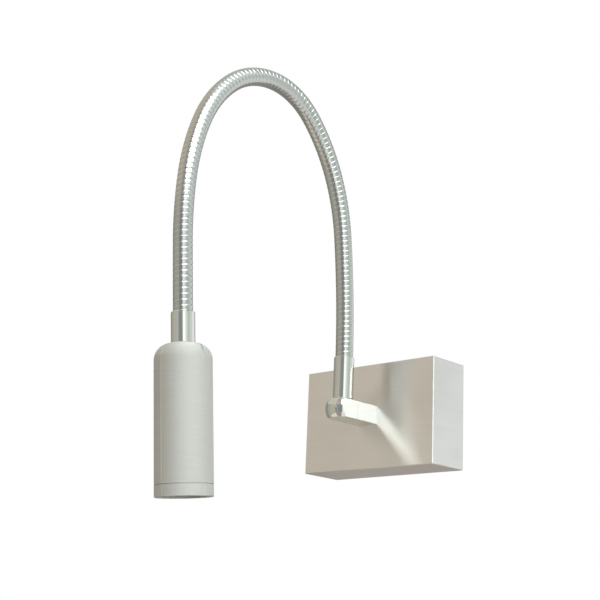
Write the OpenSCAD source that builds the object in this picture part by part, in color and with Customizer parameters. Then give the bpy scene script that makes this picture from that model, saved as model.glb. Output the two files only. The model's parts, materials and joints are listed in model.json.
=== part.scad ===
// Wall bracket light: a box on the wall, a short arm with a swivel, a gooseneck and a slim lamp head.
// Millimetres. The wall is the plane y = 0 and the room is on its -Y side. X runs along the wall, Z up.
// The origin is the centre of the box, on the wall.

/* [Box on the wall] */
// Width of the cover
box_w = 120; // [112:1:160]
// Height of the cover
box_h = 78; // [76:1:110]
// Depth of the cover, from the wall to its front
box_d = 37; // [36:1:55]
// Sheet of the cover
cover_wall = 2; // [1.5:0.1:2.5]
// Radius of the cover's corners, seen from the front
corner_r = 1; // [0.5:0.1:4]
// Chamfer round the cover's front face
front_chamfer = 0.5; // [0.3:0.1:1.5]
// Sheet of the wall plate
plate_t = 2; // [1.5:0.1:2.5]
// Distance between the two wall screws
wall_screw_pitch = 60; // [50:1:70]
// Width of the slots for the wall screws
wall_slot_w = 4.5; // [4:0.1:6]
// Length of the slots for the wall screws
wall_slot_len = 10; // [8:0.5:12]
// Height of the mains cable's hole below the middle of the box
cable_drop = 20; // [18:0.5:24]
// Bore of the grommet that the mains cable comes in through
grommet_bore = 9; // [7:0.5:11]

/* [Inside the box] */
// Length of the transformer's case, along the wall
transformer_w = 72; // [60:1:74]
// Height of the transformer's case
transformer_h = 27; // [20:1:28]
// Depth of the transformer's case
transformer_d = 20; // [16:1:22]
// Length of the terminal block
terminal_w = 30; // [24:1:34]
// Height of the terminal block
terminal_h = 18; // [14:1:20]
// Depth of the terminal block
terminal_d = 14; // [11:1:16]

/* [Arm and swivel] */
// Diameter of the arm, the swivel block and its cap
arm_d = 17; // [15.5:0.1:18]
// Height of the arm above the middle of the box
arm_up = 1.5; // [0:0.1:4]
// Length of the fixed part of the arm, from the cover to the friction washer
arm_len = 21; // [18:0.5:40]
// Length of the swivel block along the arm
block_len = 14.7; // [14:0.1:20]
// Thickness of the cap on the block's front
cap_t = 2.5; // [2.2:0.1:4]
// Radius of the cap's rounded edge
cap_round = 2; // [0.5:0.1:2.1]
// Thread on the arm's tail, and on the head ferrule's tail
tail_d = 10; // [9:0.5:10.5]
// Diameter of the swivel block's spigot, which turns inside the arm
spigot_d = 10.4; // [10:0.1:11]
// Length of the swivel block's spigot
spigot_len = 14; // [13:0.5:16]
// Bore for the lamp cable through arm, block and ferrules
cable_bore = 6.4; // [5.6:0.1:6.8]

/* [Gooseneck] */
// Outer diameter of the gooseneck over its windings
neck_d = 13; // [12:0.1:13.4]
// Diameter of the gooseneck in the grooves between its windings
neck_groove_d = 11.4; // [10.6:0.1:11.8]
// Bore of the gooseneck
neck_bore = 5.8; // [5.6:0.1:6.6]
// Length of one stretch of the gooseneck, between two bending places
stretch_len = 45.8; // [40:0.1:60]
// Number of windings on one stretch
windings = 12; // [8:1:14]
// Diameter of the two-core lamp cable
cable_d = 4.2; // [3.6:0.1:4.6]

/* [Ferrules] */
// Diameter of the lower ferrule
foot_ferrule_d = 14.8; // [14.4:0.1:15.4]
// Length of the lower ferrule
foot_ferrule_len = 29; // [26:0.1:45]
// Diameter of the head ferrule
head_ferrule_d = 15.7; // [15:0.1:18]
// Length of the head ferrule
head_ferrule_len = 21; // [18:0.1:40]

/* [Lamp head] */
// Diameter of the head
head_d = 37.7; // [37.7:0.1:44]
// Length of the head, with its front ring
head_len = 97.5; // [92:0.5:130]
// Wall of the head's shell
head_wall = 1.2; // [1:0.1:1.3]
// Radius of the head's shoulder
shoulder_r = 10.8; // [6:0.1:11]
// Height of the front ring
ring_h = 8; // [7.5:0.5:12]
// Opening in the front ring
ring_opening_d = 31; // [28:0.5:32]
// Thickness of the front glass
glass_t = 2; // [1.5:0.1:2.2]

/* [Hidden] */
$fn = 72;
stretches = 10;

// Clearances: of a running fit on the radius, of a piece in its seat, and of a screw in its hole
run_gap = 0.05;
seat_gap = 0.2;
hole_gap = 0.2;
// Small chamfer on turned pieces, and the finer one where arm, friction washer and block meet
edge = 0.4;
joint_edge = 0.15;

// Bend of each stretch at rest, in degrees, from the swivel block to the head
bend_angles = [4, 3.5, 18, 21.5, 45.5, 38, 28, 17, 9.5, 0.5];
// Gap between two stretches and the narrowed end beside it, which leave room to bend by max_bend
bend_gap = 0.9;
bend_end_d = 8.8;
max_bend = 10;
// Sides of the gooseneck's rings and of the cables' rings
neck_sides = 8;
cable_sides = 8;
// How far the gooseneck's ends go into the ferrules, and the diameter there
neck_tail = 8;
neck_tail_d = neck_groove_d + 1;
cable_r = cable_d / 2;
bore_r = cable_bore / 2;

// Arm and swivel, as distances from the cover's front face out into the room
arm_r = arm_d / 2;
tail_r = tail_d / 2;
washer_t = 0.5;
block_out = arm_len + washer_t;
foot_out = block_out + block_len / 2;
cap_out = block_out + block_len;
spigot_r = spigot_d / 2;
stub_bore_r = spigot_r + run_gap;
// The arm's tail goes through the cover, a washer and a nut
flat_washer_t = 1.5;
nut_h = 5;
nut_across = 14;
tail_over = 1.5;
tail_len = cover_wall + flat_washer_t + nut_h + tail_over;
// Stop screw in the arm and the groove on the spigot that it runs in
stop_screw_r = 1.5;
stop_clear = 0.3;
groove_depth = 0.95;
stop_from_end = 6.5;
o_ring_d = 0.9;
o_ring_from_tip = 2.5;
// Chamber in the block where the cable turns upwards
chamber_r = 4.6;
chamber_len = block_len - 3;
cable_turn_r = 6;
// Neck and threaded stud on top of the block, under the lower ferrule
foot_ferrule_r = foot_ferrule_d / 2;
block_neck_r = foot_ferrule_r - edge;
block_neck_rise = 0.3;
block_neck_top = arm_up + arm_r + block_neck_rise;
stud_r = 4.8;
stud_len = 7;

foot_y = -(box_d + foot_out);
foot_z = block_neck_top;
neck_z = foot_z + foot_ferrule_len;
neck_seat_d = neck_tail_d + 2 * seat_gap;
neck_seat_depth = neck_tail + 1;

// Wall plate and what is fixed to it
cover_gap = 0.3;
plate_w = box_w - 2 * cover_wall - 2 * cover_gap;
plate_h = box_h - 2 * cover_wall - 2 * cover_gap;
plate_front = -plate_t;
lug_w = 10;
lug_len = 14;
lug_x = plate_w / 2 - lug_w / 2 - 4.5;
cover_screw_y = -9;
m3_r = 1.5;
m3_head_r = 2.75;
m3_head_h = 1.6;
cover_screw_len = 7;
grommet_r = grommet_bore / 2 + 3.2;
grommet_neck_r = grommet_bore / 2 + 1.5;
grommet_lip = 1.5;

// The transformer sits above the wall screws, the terminal block below them
wall_screw_room = 6;
transformer_z = wall_screw_room + transformer_h / 2;
transformer_ear = 6;
ear_t = 2;
ear_hole_x = transformer_w / 2 + transformer_ear / 2;
pan_head_r = 2.6;
pan_head_h = 1.9;
terminal_x = -(grommet_r + 4 + terminal_w / 2);
terminal_z = -cable_drop;
terminal_poles = 3;
pole_pitch = terminal_w / terminal_poles;
earth_x = 34;
earth_z = -cable_drop;
earth_tag_t = 0.8;
earth_boss_t = 1;
tag_r = 4;
tag_len = 9;

// Leads inside the box. Their routes are points chosen by hand.
lead_r = 1.2;
lead_y = plate_front - terminal_d / 2 - 1;
live_route = [[-40, -3, -3], [-44, -4, 1], [-46, -4, 6], [-47, -3, 12], [-46, -2, 17], [-43, -1, 19.5]];
neutral_route = [[-29, 2, -3.5], [-35, 2.5, -0.5], [-40, 2.5, 3], [-42.5, 2, 8], [-41.5, 2, 12.5]];

// Head, as distances along its axis from the end of the gooseneck
head_r = head_d / 2;
shell_s = head_ferrule_len;
shell_len = head_len - ring_h;
shell_top_t = 2.5;
shell_bore_r = head_r - head_wall;
strap_t = 1.2;
strap_boss_h = 1.6;
strap_w = 14;
strap_half = 11;
strap_s = shell_s + shell_top_t + strap_boss_h;
strap_nut_s = strap_s + strap_t;
head_tail_len = shell_top_t + strap_boss_h + strap_t + nut_h + tail_over;
foot_flange = 5.4;
holder_s = shell_s + 35.2;
holder_body_w = 16;
holder_body_t = 11;
holder_body_h = 12;
holder_flange_t = 2;
holder_flange_w = 2 * strap_half - 2 * strap_t - 2 * seat_gap;
holder_screw_x = strap_half - strap_t - foot_flange / 2 + 0.4;
holder_screw_len = 5;

// Reflector lamp, 35 mm across, with two pins 4 mm apart
lamp_r = 17.4;
lamp_base_s = holder_s + holder_body_h + seat_gap;
lamp_base_h = 6.5;
lamp_neck_r = 6;
lamp_foot_t = 8;
capsule_r = 3.5;
capsule_len = 9;
lamp_wall = 1.2;
pin_pitch = 4;
pin_r = 0.5;
pin_len = 5;

// Front ring: a threaded neck inside the shell, a seat for the glass and a lip round the opening
seam = 0.2;
ring_s = shell_s + shell_len + seam;
ring_neck_len = 5;
ring_neck_r = shell_bore_r - 2 * run_gap;
ring_seat_r = ring_neck_r - 0.95;
ring_body_h = ring_h - seam;
glass_seat = 3.5;
gasket_t = 0.8;
glass_r = ring_seat_r - seat_gap;
clip_wire = 0.6;
// Face of the gasket, and the room side and lamp side of the glass, from the ring's top face
gasket_top = glass_seat - run_gap;
glass_face = gasket_top - gasket_t;
glass_back = glass_face - glass_t;
lamp_front_s = ring_s - ring_neck_len - seat_gap;

// Direction of travel along stretch k's start, in degrees from upwards towards the room
function heading(k) = k == 0 ? 0 : heading(k - 1) + bend_angles[k - 1];
// Start of stretch k, counted from 0, as [y, z]
function stretch_start(k) = k == 0 ? [foot_y, neck_z] : stretch_at(k - 1, stretch_len);
// Heading and place at the length s along stretch k
function heading_at(k, s) = heading(k) + bend_angles[k] * s / stretch_len;
function stretch_at(k, s) =
    let (r = stretch_len * 180 / (PI * bend_angles[k]), a = heading(k), b = heading_at(k, s))
    stretch_start(k) + r * [cos(b) - cos(a), sin(b) - sin(a)];

neck_end = stretch_start(stretches);
head_heading = heading(stretches);

function unit(v) = v / norm(v);
// Points of a ring round centre, square to the direction along
function ring(centre, along, beside, r, sides) =
    let (u = unit(cross(beside, along)), v = unit(cross(along, u)))
    [for (j = [0 : sides - 1])
        let (a = 360 * j / sides) centre + r * (cos(a) * u + sin(a) * v)];
// Two triangles for each side between ring i and ring i + 1, seen from outside or from inside
function wall_faces(first, rings, sides, outside) =
    [for (i = [0 : rings - 2]) for (j = [0 : sides - 1])
        let (a = first + i * sides + j, b = first + i * sides + (j + 1) % sides, c = b + sides, d = a + sides)
        each outside ? [[a, d, c], [a, c, b]] : [[a, b, c], [a, c, d]]];
function start_faces(outer, inner, sides) =
    [for (j = [0 : sides - 1]) let (n = (j + 1) % sides)
        each [[outer + j, outer + n, inner + n], [outer + j, inner + n, inner + j]]];
function end_faces(outer, inner, sides) =
    [for (j = [0 : sides - 1]) let (n = (j + 1) % sides)
        each [[outer + j, inner + n, outer + n], [outer + j, inner + j, inner + n]]];

// Solid round tube along a list of points
module tube(points, r, beside) {
    last = len(points) - 1;
    n = cable_sides;
    along = [for (i = [0 : last]) unit(points[min(i + 1, last)] - points[max(i - 1, 0)])];
    polyhedron(
        [for (i = [0 : last]) each ring(points[i], along[i], beside, r, n)],
        concat(
            wall_faces(0, last + 1, n, true),
            [for (j = [1 : n - 2]) [0, j, j + 1]],
            [for (j = [1 : n - 2]) [last * n, last * n + j + 1, last * n + j]]
        )
    );
}

// Places: out on the arm's axis from the cover's face, with +Z into the room; and down the head's axis
module on_arm(out) translate([0, -box_d - out, arm_up]) rotate([90, 0, 0]) children();
module on_head(s) translate([0, neck_end.x, neck_end.y]) rotate([head_heading, 0, 0]) translate([0, 0, s]) children();
module on_foot(z) translate([0, foot_y, z]) children();
module on_plate(x, z) translate([x, plate_front, z]) rotate([90, 0, 0]) children();

module tube_ring(outer_r, inner_r, h) difference() {
    cylinder(r = outer_r, h = h);
    translate([0, 0, -1]) cylinder(r = inner_r, h = h + 2);
}

// Plate outline with rounded corners
module rounded_outline(w, h, r) {
    square([w - 2 * r, h], center = true);
    square([w, h - 2 * r], center = true);
    for (x = [-1, 1], y = [-1, 1]) translate([x * (w / 2 - r), y * (h / 2 - r)]) circle(r);
}

// Half outline of a turned piece: a straight wall with a round shoulder
module shoulder_outline(r, round_r, top, bottom) intersection() {
    union() {
        translate([0, top]) square([r - round_r, bottom - top]);
        translate([0, top + round_r]) square([r, bottom - top - round_r]);
        translate([r - round_r, top + round_r]) circle(round_r);
    }
    translate([0, top]) square([r, bottom - top]);
}

// Slot that is w wide and len long, along X
module slot_outline(len, w) {
    square([len - w, w], center = true);
    for (x = [-1, 1]) translate([x * (len - w) / 2, 0]) circle(d = w);
}

module pan_screw(shank_len, head_r = pan_head_r, head_h = pan_head_h) difference() {
    union() {
        cylinder(r1 = head_r, r2 = head_r - 0.6, h = head_h);
        translate([0, 0, -shank_len]) cylinder(r = m3_r, h = shank_len + 0.1);
    }
    for (a = [0, 90]) rotate(a) translate([-1.5, -0.3, head_h - 0.9]) cube([3, 0.6, 2]);
}

// Box on the wall

module wall_plate() color("lightsteelblue") difference() {
    union() {
        rotate([90, 0, 0]) linear_extrude(plate_t) rounded_outline(plate_w, plate_h, corner_r);
        for (x = [-1, 1], z = [-1, 1])
            translate([x * lug_x - lug_w / 2, -lug_len, z > 0 ? plate_h / 2 - plate_t : -plate_h / 2])
                cube([lug_w, lug_len - plate_t / 2, plate_t]);
        translate([earth_x, plate_front, earth_z]) rotate([90, 0, 0]) cylinder(r = tag_r, h = earth_boss_t);
    }
    rotate([90, 0, 0]) translate([0, 0, -1]) linear_extrude(plate_t + 2) {
        for (x = [-1, 1]) translate([x * wall_screw_pitch / 2, 0]) slot_outline(wall_slot_len, wall_slot_w);
    }
    translate([0, 1, -cable_drop]) rotate([90, 0, 0]) cylinder(r = grommet_neck_r + hole_gap, h = plate_t + 2);
    for (x = [-1, 1]) {
        translate([x * lug_x, cover_screw_y, 0]) cylinder(r = m3_r + run_gap, h = box_h);
        translate([x * ear_hole_x, 1, transformer_z]) rotate([90, 0, 0])
            cylinder(r = m3_r + run_gap, h = plate_t + 2);
    }
    translate([earth_x, 1, earth_z]) rotate([90, 0, 0]) cylinder(r = m3_r + run_gap, h = plate_t + earth_boss_t + 2);
    translate([terminal_x, 1, terminal_z]) rotate([90, 0, 0]) cylinder(r = m3_r + run_gap, h = plate_t + 2);
}

// Profile of the cover's depth: a rectangle with its two front corners chamfered
module depth_profile(w, d, c) polygon(
    [[-w / 2, 0], [-w / 2, -d + c], [-w / 2 + c, -d], [w / 2 - c, -d], [w / 2, -d + c], [w / 2, 0]]
);

module box_cover() color([0.74, 0.72, 0.68]) difference() {
    intersection() {
        rotate([90, 0, 0]) linear_extrude(box_d) rounded_outline(box_w, box_h, corner_r);
        translate([0, 0, -box_h]) linear_extrude(2 * box_h) depth_profile(box_w, box_d, front_chamfer);
        rotate([0, 90, 0]) translate([0, 0, -box_w]) linear_extrude(2 * box_w)
            depth_profile(box_h, box_d, front_chamfer);
    }
    translate([-box_w / 2 + cover_wall, -box_d + cover_wall, -box_h / 2 + cover_wall])
        cube([box_w - 2 * cover_wall, box_d, box_h - 2 * cover_wall]);
    on_arm(-cover_wall - 1) cylinder(r = tail_r + hole_gap, h = cover_wall + 2);
    for (x = [-1, 1]) translate([x * lug_x, cover_screw_y, box_h / 2]) {
        translate([0, 0, -cover_wall - 1]) cylinder(r = m3_r + hole_gap, h = cover_wall + 2);
        translate([0, 0, -m3_head_h]) cylinder(r1 = m3_r + hole_gap, r2 = m3_head_r + hole_gap, h = m3_head_h);
    }
}

// Countersunk screws through the top of the cover into the plate's lugs
module cover_screws() color("silver") for (x = [-1, 1])
    translate([x * lug_x, cover_screw_y, box_h / 2]) difference() {
        union() {
            translate([0, 0, -m3_head_h]) cylinder(r1 = m3_r, r2 = m3_head_r, h = m3_head_h);
            translate([0, 0, -cover_screw_len]) cylinder(r = m3_r, h = cover_screw_len - m3_head_h);
        }
        for (a = [0, 90]) rotate(a) translate([-1.6, -0.3, -0.9]) cube([3.2, 0.6, 2]);
    }

module cable_grommet() color("dimgray") translate([0, 0, -cable_drop]) rotate([90, 0, 0]) rotate_extrude()
    polygon([
        [grommet_bore / 2, 0],
        [grommet_neck_r, 0],
        [grommet_neck_r, plate_t],
        [grommet_r, plate_t],
        [grommet_r, plate_t + grommet_lip / 2],
        [grommet_r - grommet_lip / 2, plate_t + grommet_lip],
        [grommet_bore / 2, plate_t + grommet_lip]
    ]);

module transformer() color([0.93, 0.93, 0.9]) difference() {
    union() {
        translate([-transformer_w / 2, plate_front - transformer_d, transformer_z - transformer_h / 2])
            cube([transformer_w, transformer_d, transformer_h]);
        for (x = [-1, 1]) translate([x * ear_hole_x, plate_front - ear_t / 2, transformer_z])
            cube([transformer_ear + 0.02, ear_t, 12], center = true);
    }
    for (x = [-1, 1]) on_plate(x * ear_hole_x, transformer_z) translate([0, 0, -1])
        cylinder(r = m3_r + hole_gap, h = ear_t + 2);
    // Seam between the case and its lid, and the two ends where the leads go in
    for (z = [-1, 1]) translate([-transformer_w, plate_front - transformer_d * 0.7, 0])
        translate([0, 0, transformer_z + z * transformer_h / 2 - 0.4]) cube([2 * transformer_w, 0.8, 0.8]);
}

module transformer_screws() color("silver") for (x = [-1, 1])
    on_plate(x * ear_hole_x, transformer_z) translate([0, 0, ear_t]) pan_screw(ear_t + plate_t - 0.2);

module terminal_block() color([0.95, 0.95, 0.93]) difference() {
    union() {
        translate([terminal_x - terminal_w / 2, plate_front - terminal_d * 0.6, terminal_z - terminal_h / 2])
            cube([terminal_w, terminal_d * 0.6, terminal_h]);
        for (i = [0 : terminal_poles - 1]) translate([
            terminal_x + (i - (terminal_poles - 1) / 2) * pole_pitch, plate_front - terminal_d / 2, terminal_z
        ]) cube([pole_pitch - 2, terminal_d, terminal_h - 4], center = true);
    }
    for (i = [0 : terminal_poles - 1], z = [-1, 1])
        on_plate(terminal_x + (i - (terminal_poles - 1) / 2) * pole_pitch, terminal_z + z * terminal_h / 5)
            translate([0, 0, terminal_d - 4]) cylinder(r = m3_r + hole_gap, h = 5);
}

module terminal_screws() color("goldenrod")
    for (i = [0 : terminal_poles - 1], z = [-1, 1])
        on_plate(terminal_x + (i - (terminal_poles - 1) / 2) * pole_pitch, terminal_z + z * terminal_h / 5)
            translate([0, 0, terminal_d - 4]) difference() {
                cylinder(r = m3_r, h = 3.2);
                translate([-2, -0.3, 2.4]) cube([4, 0.6, 2]);
            }

module earth_screw() color("gold") on_plate(earth_x, earth_z)
    translate([0, 0, earth_boss_t + earth_tag_t]) pan_screw(plate_t + earth_boss_t + earth_tag_t - 0.2, tag_r - 0.6);

module earth_tag() color("silver") on_plate(earth_x, earth_z) translate([0, 0, earth_boss_t]) difference() {
    union() {
        cylinder(r = tag_r, h = earth_tag_t);
        translate([-tag_len, -1.5, 0]) cube([tag_len, 3, earth_tag_t]);
    }
    translate([0, 0, -1]) cylinder(r = m3_r + hole_gap, h = earth_tag_t + 2);
}

// Route points are [x, distance in front of lead_y, z]
function lead_points(route) = [for (p = route) [p.x, lead_y + p.y, p.z]];

module earth_lead() color("yellowgreen") {
    start_x = terminal_x + pole_pitch;
    tag_y = plate_front - earth_boss_t - earth_tag_t / 2;
    top = terminal_z + terminal_h / 2;
    tube([
        [start_x, lead_y, top], [start_x, lead_y, top + 3], [start_x + 3, lead_y, top + 5.5],
        [start_x + 9, lead_y, top + 6], [0, lead_y, top + 6], [earth_x - 20, lead_y + 1, top + 5],
        [earth_x - 17.5, lead_y + 2.5, top + 1], [earth_x - 15.5, tag_y - 0.6, earth_z + 3],
        [earth_x - 13.5, tag_y, earth_z + 0.5], [earth_x - 11.5, tag_y, earth_z], [earth_x - tag_len, tag_y, earth_z]
    ], lead_r, [1, 1, 0.4]);
}

module mains_leads() {
    top = terminal_z + terminal_h / 2;
    side = -transformer_w / 2;
    color("saddlebrown") tube(concat(
        [[terminal_x - pole_pitch, lead_y, top], [terminal_x - pole_pitch, lead_y, top + 4]],
        lead_points(live_route),
        [[side - 3.5, lead_y - 1, 20], [side, lead_y - 1, 20]]
    ), lead_r, [0, 1, 0]);
    color("steelblue") tube(concat(
        [[terminal_x, lead_y, top], [terminal_x, lead_y, top + 3]],
        lead_points(neutral_route),
        [[side - 3.5, lead_y + 2, 14], [side, lead_y + 2, 14]]
    ), lead_r, [0, 1, 0]);
}

// Two-core lead from the transformer to the arm's tail and on to the swivel block's spigot
module lamp_lead() color("whitesmoke") {
    side = transformer_w / 2;
    tube([
        [side, -12, 20], [side + 4, -12, 20], [side + 8, -12, 18], [side + 10, -12, 13],
        [side + 8, -12, 6], [side, -11, 1], [26, -10, 0], [16, -10, 0], [9, -11, arm_up * 0.3],
        [3.5, -14, arm_up * 0.7], [0.7, -19, arm_up], [0, -24, arm_up], [0, -30, arm_up],
        [0, -box_d - arm_len + spigot_len + 0.5, arm_up]
    ], cable_r, [1, -1, 1]);
}

// Arm and swivel

module arm_stub() color([0.86, 0.86, 0.84]) difference() {
    union() {
        on_arm(0) rotate_extrude() polygon([
            [0, 0], [arm_r - edge, 0], [arm_r, edge],
            [arm_r, arm_len - joint_edge], [arm_r - joint_edge, arm_len], [0, arm_len]
        ]);
        on_arm(-tail_len) cylinder(r = tail_r, h = tail_len + 0.1);
    }
    on_arm(-tail_len - 1) cylinder(r = bore_r, h = tail_len + arm_len + 2);
    on_arm(arm_len - spigot_len - 0.5) cylinder(r = stub_bore_r, h = spigot_len + 2);
    on_arm(arm_len - stop_from_end) rotate([90, 0, 0]) cylinder(r = stop_screw_r + run_gap, h = arm_d);
}

module arm_washer() color("silver") on_arm(-cover_wall - flat_washer_t)
    tube_ring(nut_across / 2 + 2, tail_r + hole_gap, flat_washer_t);

module hex_nut(h) difference() {
    cylinder(d = nut_across / cos(30), h = h, $fn = 6);
    translate([0, 0, -1]) cylinder(r = tail_r + run_gap, h = h + 2);
}

module arm_nut() color("goldenrod") on_arm(-cover_wall - flat_washer_t - nut_h) hex_nut(nut_h);

// Grub screw in the underside of the arm, with its tip in the spigot's groove
module stop_screw() color("dimgray") on_arm(arm_len - stop_from_end) rotate([90, 0, 0]) {
    tip = spigot_r - groove_depth + 0.2;
    translate([0, 0, tip]) difference() {
        cylinder(r = stop_screw_r, h = arm_r - edge - tip);
        translate([0, 0, arm_r - edge - tip - 1.2]) cylinder(d = 1.7, h = 2, $fn = 6);
    }
}

module swivel_washer() color("saddlebrown") on_arm(arm_len)
    tube_ring(arm_r - joint_edge, stub_bore_r + seat_gap, washer_t);

module swivel_block() color([0.86, 0.86, 0.84]) difference() {
    union() {
        on_arm(block_out) rotate_extrude() polygon([
            [0, 0], [arm_r - joint_edge, 0], [arm_r, joint_edge], [arm_r, block_len - joint_edge],
            [arm_r - joint_edge, block_len], [0, block_len]
        ]);
        on_arm(block_out - spigot_len) cylinder(r = spigot_r, h = spigot_len + 0.1);
        on_foot(arm_up) cylinder(r = block_neck_r, h = block_neck_top - arm_up);
        on_foot(arm_up) cylinder(r = stud_r, h = block_neck_top - arm_up + stud_len);
    }
    on_arm(block_out - spigot_len - 1) cylinder(r = bore_r, h = spigot_len + block_len);
    on_arm(block_out + block_len - chamber_len) cylinder(r = chamber_r, h = chamber_len + 1);
    on_foot(arm_up) cylinder(r = bore_r, h = block_neck_top - arm_up + stud_len + 1);
    // Groove for the stop screw, all round but for the land above, which is the stop
    intersection() {
        on_arm(arm_len - stop_from_end - stop_screw_r - stop_clear)
            tube_ring(spigot_r + 1, spigot_r - groove_depth, 2 * (stop_screw_r + stop_clear));
        translate([-arm_d, -box_d - arm_len, arm_up - arm_d])
            cube([2 * arm_d, arm_len, arm_d + stop_screw_r + stop_clear]);
    }
    on_arm(block_out - spigot_len + o_ring_from_tip - o_ring_d / 2 - run_gap)
        tube_ring(spigot_r + 1, spigot_r - o_ring_d - run_gap, o_ring_d + 2 * run_gap);
}

module swivel_o_ring() color("black") on_arm(block_out - spigot_len + o_ring_from_tip)
    rotate_extrude() translate([spigot_r - o_ring_d / 2, 0]) circle(d = o_ring_d, $fn = 24);

// Screwed cap over the chamber, with a rounded edge and a slot for a screwdriver
module block_cap() color([0.8, 0.77, 0.72]) difference() {
    union() {
        on_arm(cap_out + cap_t) mirror([0, 0, 1]) rotate_extrude() shoulder_outline(arm_r, cap_round, 0, cap_t);
        on_arm(cap_out - 3) cylinder(r = chamber_r - run_gap, h = 3.1);
    }
    on_arm(cap_out + cap_t - 1) translate([-arm_r * 0.6, -0.8, 0]) cube([arm_r * 1.2, 1.6, 2]);
}

// Cable through the spigot, up through the block and the lower ferrule to the gooseneck
module arm_cable() color("whitesmoke") tube(concat(
    [[0, -box_d - block_out + spigot_len, arm_up]],
    [for (a = [0 : 15 : 90]) [
        0, foot_y + cable_turn_r * (1 - sin(a)), arm_up + cable_turn_r * (1 - cos(a))
    ]],
    [[0, foot_y, neck_z - 0.5]]
), cable_r, [1, 0, 0]);

module lower_ferrule() color([0.8, 0.82, 0.8]) on_foot(foot_z) rotate_extrude() polygon([
    [stud_r + run_gap, 0], [foot_ferrule_r - edge, 0], [foot_ferrule_r, edge],
    [foot_ferrule_r, foot_ferrule_len - 2 * edge], [foot_ferrule_r - 2 * edge, foot_ferrule_len],
    [neck_seat_d / 2, foot_ferrule_len], [neck_seat_d / 2, foot_ferrule_len - neck_seat_depth],
    [bore_r, foot_ferrule_len - neck_seat_depth], [bore_r, stud_len + 0.5], [stud_r + run_gap, stud_len + 0.5]
]);

// Gooseneck: one wound tube in stretches that bend against each other. Each winding is a crest and a groove.
// At each bending place the stretches end in a narrowed ring, with bend_gap between them.
pitch = stretch_len / windings;
function neck_start(k) = k == 0 ? 0 : bend_gap / 2;
function neck_stop(k) = k == stretches - 1 ? stretch_len : stretch_len - bend_gap / 2;
function neck_rings(k) = concat(
    k == 0 ? [[-neck_tail, neck_tail_d], [0, neck_tail_d]] : [[neck_start(k), bend_end_d]],
    [for (i = [1 : 2 * windings - 1]) [i * pitch / 2, i % 2 == 1 ? neck_d : neck_groove_d]],
    k == stretches - 1 ? [[stretch_len, neck_tail_d], [stretch_len + neck_tail, neck_tail_d]]
        : [[neck_stop(k), bend_end_d]]
);
// Ring at s along stretch k; past an end of the whole gooseneck it goes on straight
function neck_ring(k, s, d, sides) =
    let (
        t = min(max(s, 0), stretch_len), a = heading_at(k, t), p = stretch_at(k, t),
        along = [0, -sin(a), cos(a)]
    )
    ring([0, p.x, p.y] + (s - t) * along, along, [1, 0, 0], d / 2, sides);

module gooseneck(k) color([0.72, 0.74, 0.73]) {
    outer = neck_rings(k);
    first = outer[0][0];
    final = outer[len(outer) - 1][0];
    inner = [first, for (i = [1 : windings - 1]) i * pitch, final];
    n = neck_sides;
    inner_first = len(outer) * n;
    polyhedron(
        concat(
            [for (o = outer) each neck_ring(k, o[0], o[1], n)],
            [for (s = inner) each neck_ring(k, s, neck_bore, n)]
        ),
        concat(
            wall_faces(0, len(outer), n, true),
            wall_faces(inner_first, len(inner), n, false),
            start_faces(0, inner_first, n),
            end_faces(inner_first - n, inner_first + (len(inner) - 1) * n, n)
        )
    );
}

// The lamp cable's part in each stretch
module lamp_cable(k) color("whitesmoke") {
    steps = 6;
    tube([for (i = [0 : steps])
        let (s = neck_start(k) + (neck_stop(k) - neck_start(k)) * i / steps, p = stretch_at(k, s)) [0, p.x, p.y]
    ], cable_r, [1, 0, 0]);
}

// Lamp head

module head_ferrule() color([0.8, 0.82, 0.8]) on_head(0) rotate_extrude() polygon([
    [neck_seat_d / 2, 0], [head_ferrule_d / 2 - 2 * edge, 0], [head_ferrule_d / 2, 2 * edge],
    [head_ferrule_d / 2, head_ferrule_len - edge], [head_ferrule_d / 2 - edge, head_ferrule_len],
    [tail_r, head_ferrule_len], [tail_r, head_ferrule_len + head_tail_len],
    [bore_r, head_ferrule_len + head_tail_len], [bore_r, neck_seat_depth], [neck_seat_d / 2, neck_seat_depth]
]);

module head_cable() color("whitesmoke") on_head(0.5) cylinder(r = cable_r, h = holder_s - 0.5);

module head_nut() color("goldenrod") on_head(strap_nut_s) hex_nut(nut_h);

module head_shell() color([0.78, 0.78, 0.76]) on_head(shell_s) difference() {
    rotate_extrude() shoulder_outline(head_r, shoulder_r, 0, shell_len);
    rotate_extrude() shoulder_outline(shell_bore_r, shoulder_r - head_wall, shell_top_t, shell_len + 1);
    translate([0, 0, -1]) cylinder(r = tail_r + hole_gap, h = shell_top_t + 2);
}

// Bent strap under the nut: a top with a boss that clears the shell's round shoulder, two legs, and two feet
// that the lampholder hangs from
module holder_bracket() color("silver") on_head(strap_s) difference() {
    leg = holder_s - strap_s;
    union() {
        translate([0, 0, -strap_boss_h + run_gap]) cylinder(d = strap_w, h = strap_boss_h);
        rotate([90, 0, 0]) translate([0, 0, -strap_w / 2]) linear_extrude(strap_w) {
            translate([-strap_half, 0]) square([2 * strap_half, strap_t]);
            for (x = [0, 1]) mirror([x, 0]) {
                translate([strap_half - strap_t, 0]) square([strap_t, leg]);
                translate([strap_half - strap_t - foot_flange, leg - strap_t])
                    square([foot_flange + strap_t, strap_t]);
            }
        }
    }
    translate([0, 0, -strap_boss_h - 1]) cylinder(r = tail_r + hole_gap, h = strap_boss_h + strap_t + 2);
    for (x = [-1, 1]) translate([x * holder_screw_x, 0, leg - strap_t - 1])
        cylinder(r = m3_r + hole_gap, h = strap_t + 2);
}

module holder_screws() color("silver") for (x = [-1, 1])
    on_head(holder_s - strap_t) translate([x * holder_screw_x, 0, 0]) mirror([0, 0, 1])
        pan_screw(holder_screw_len, 2.2);

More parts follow.
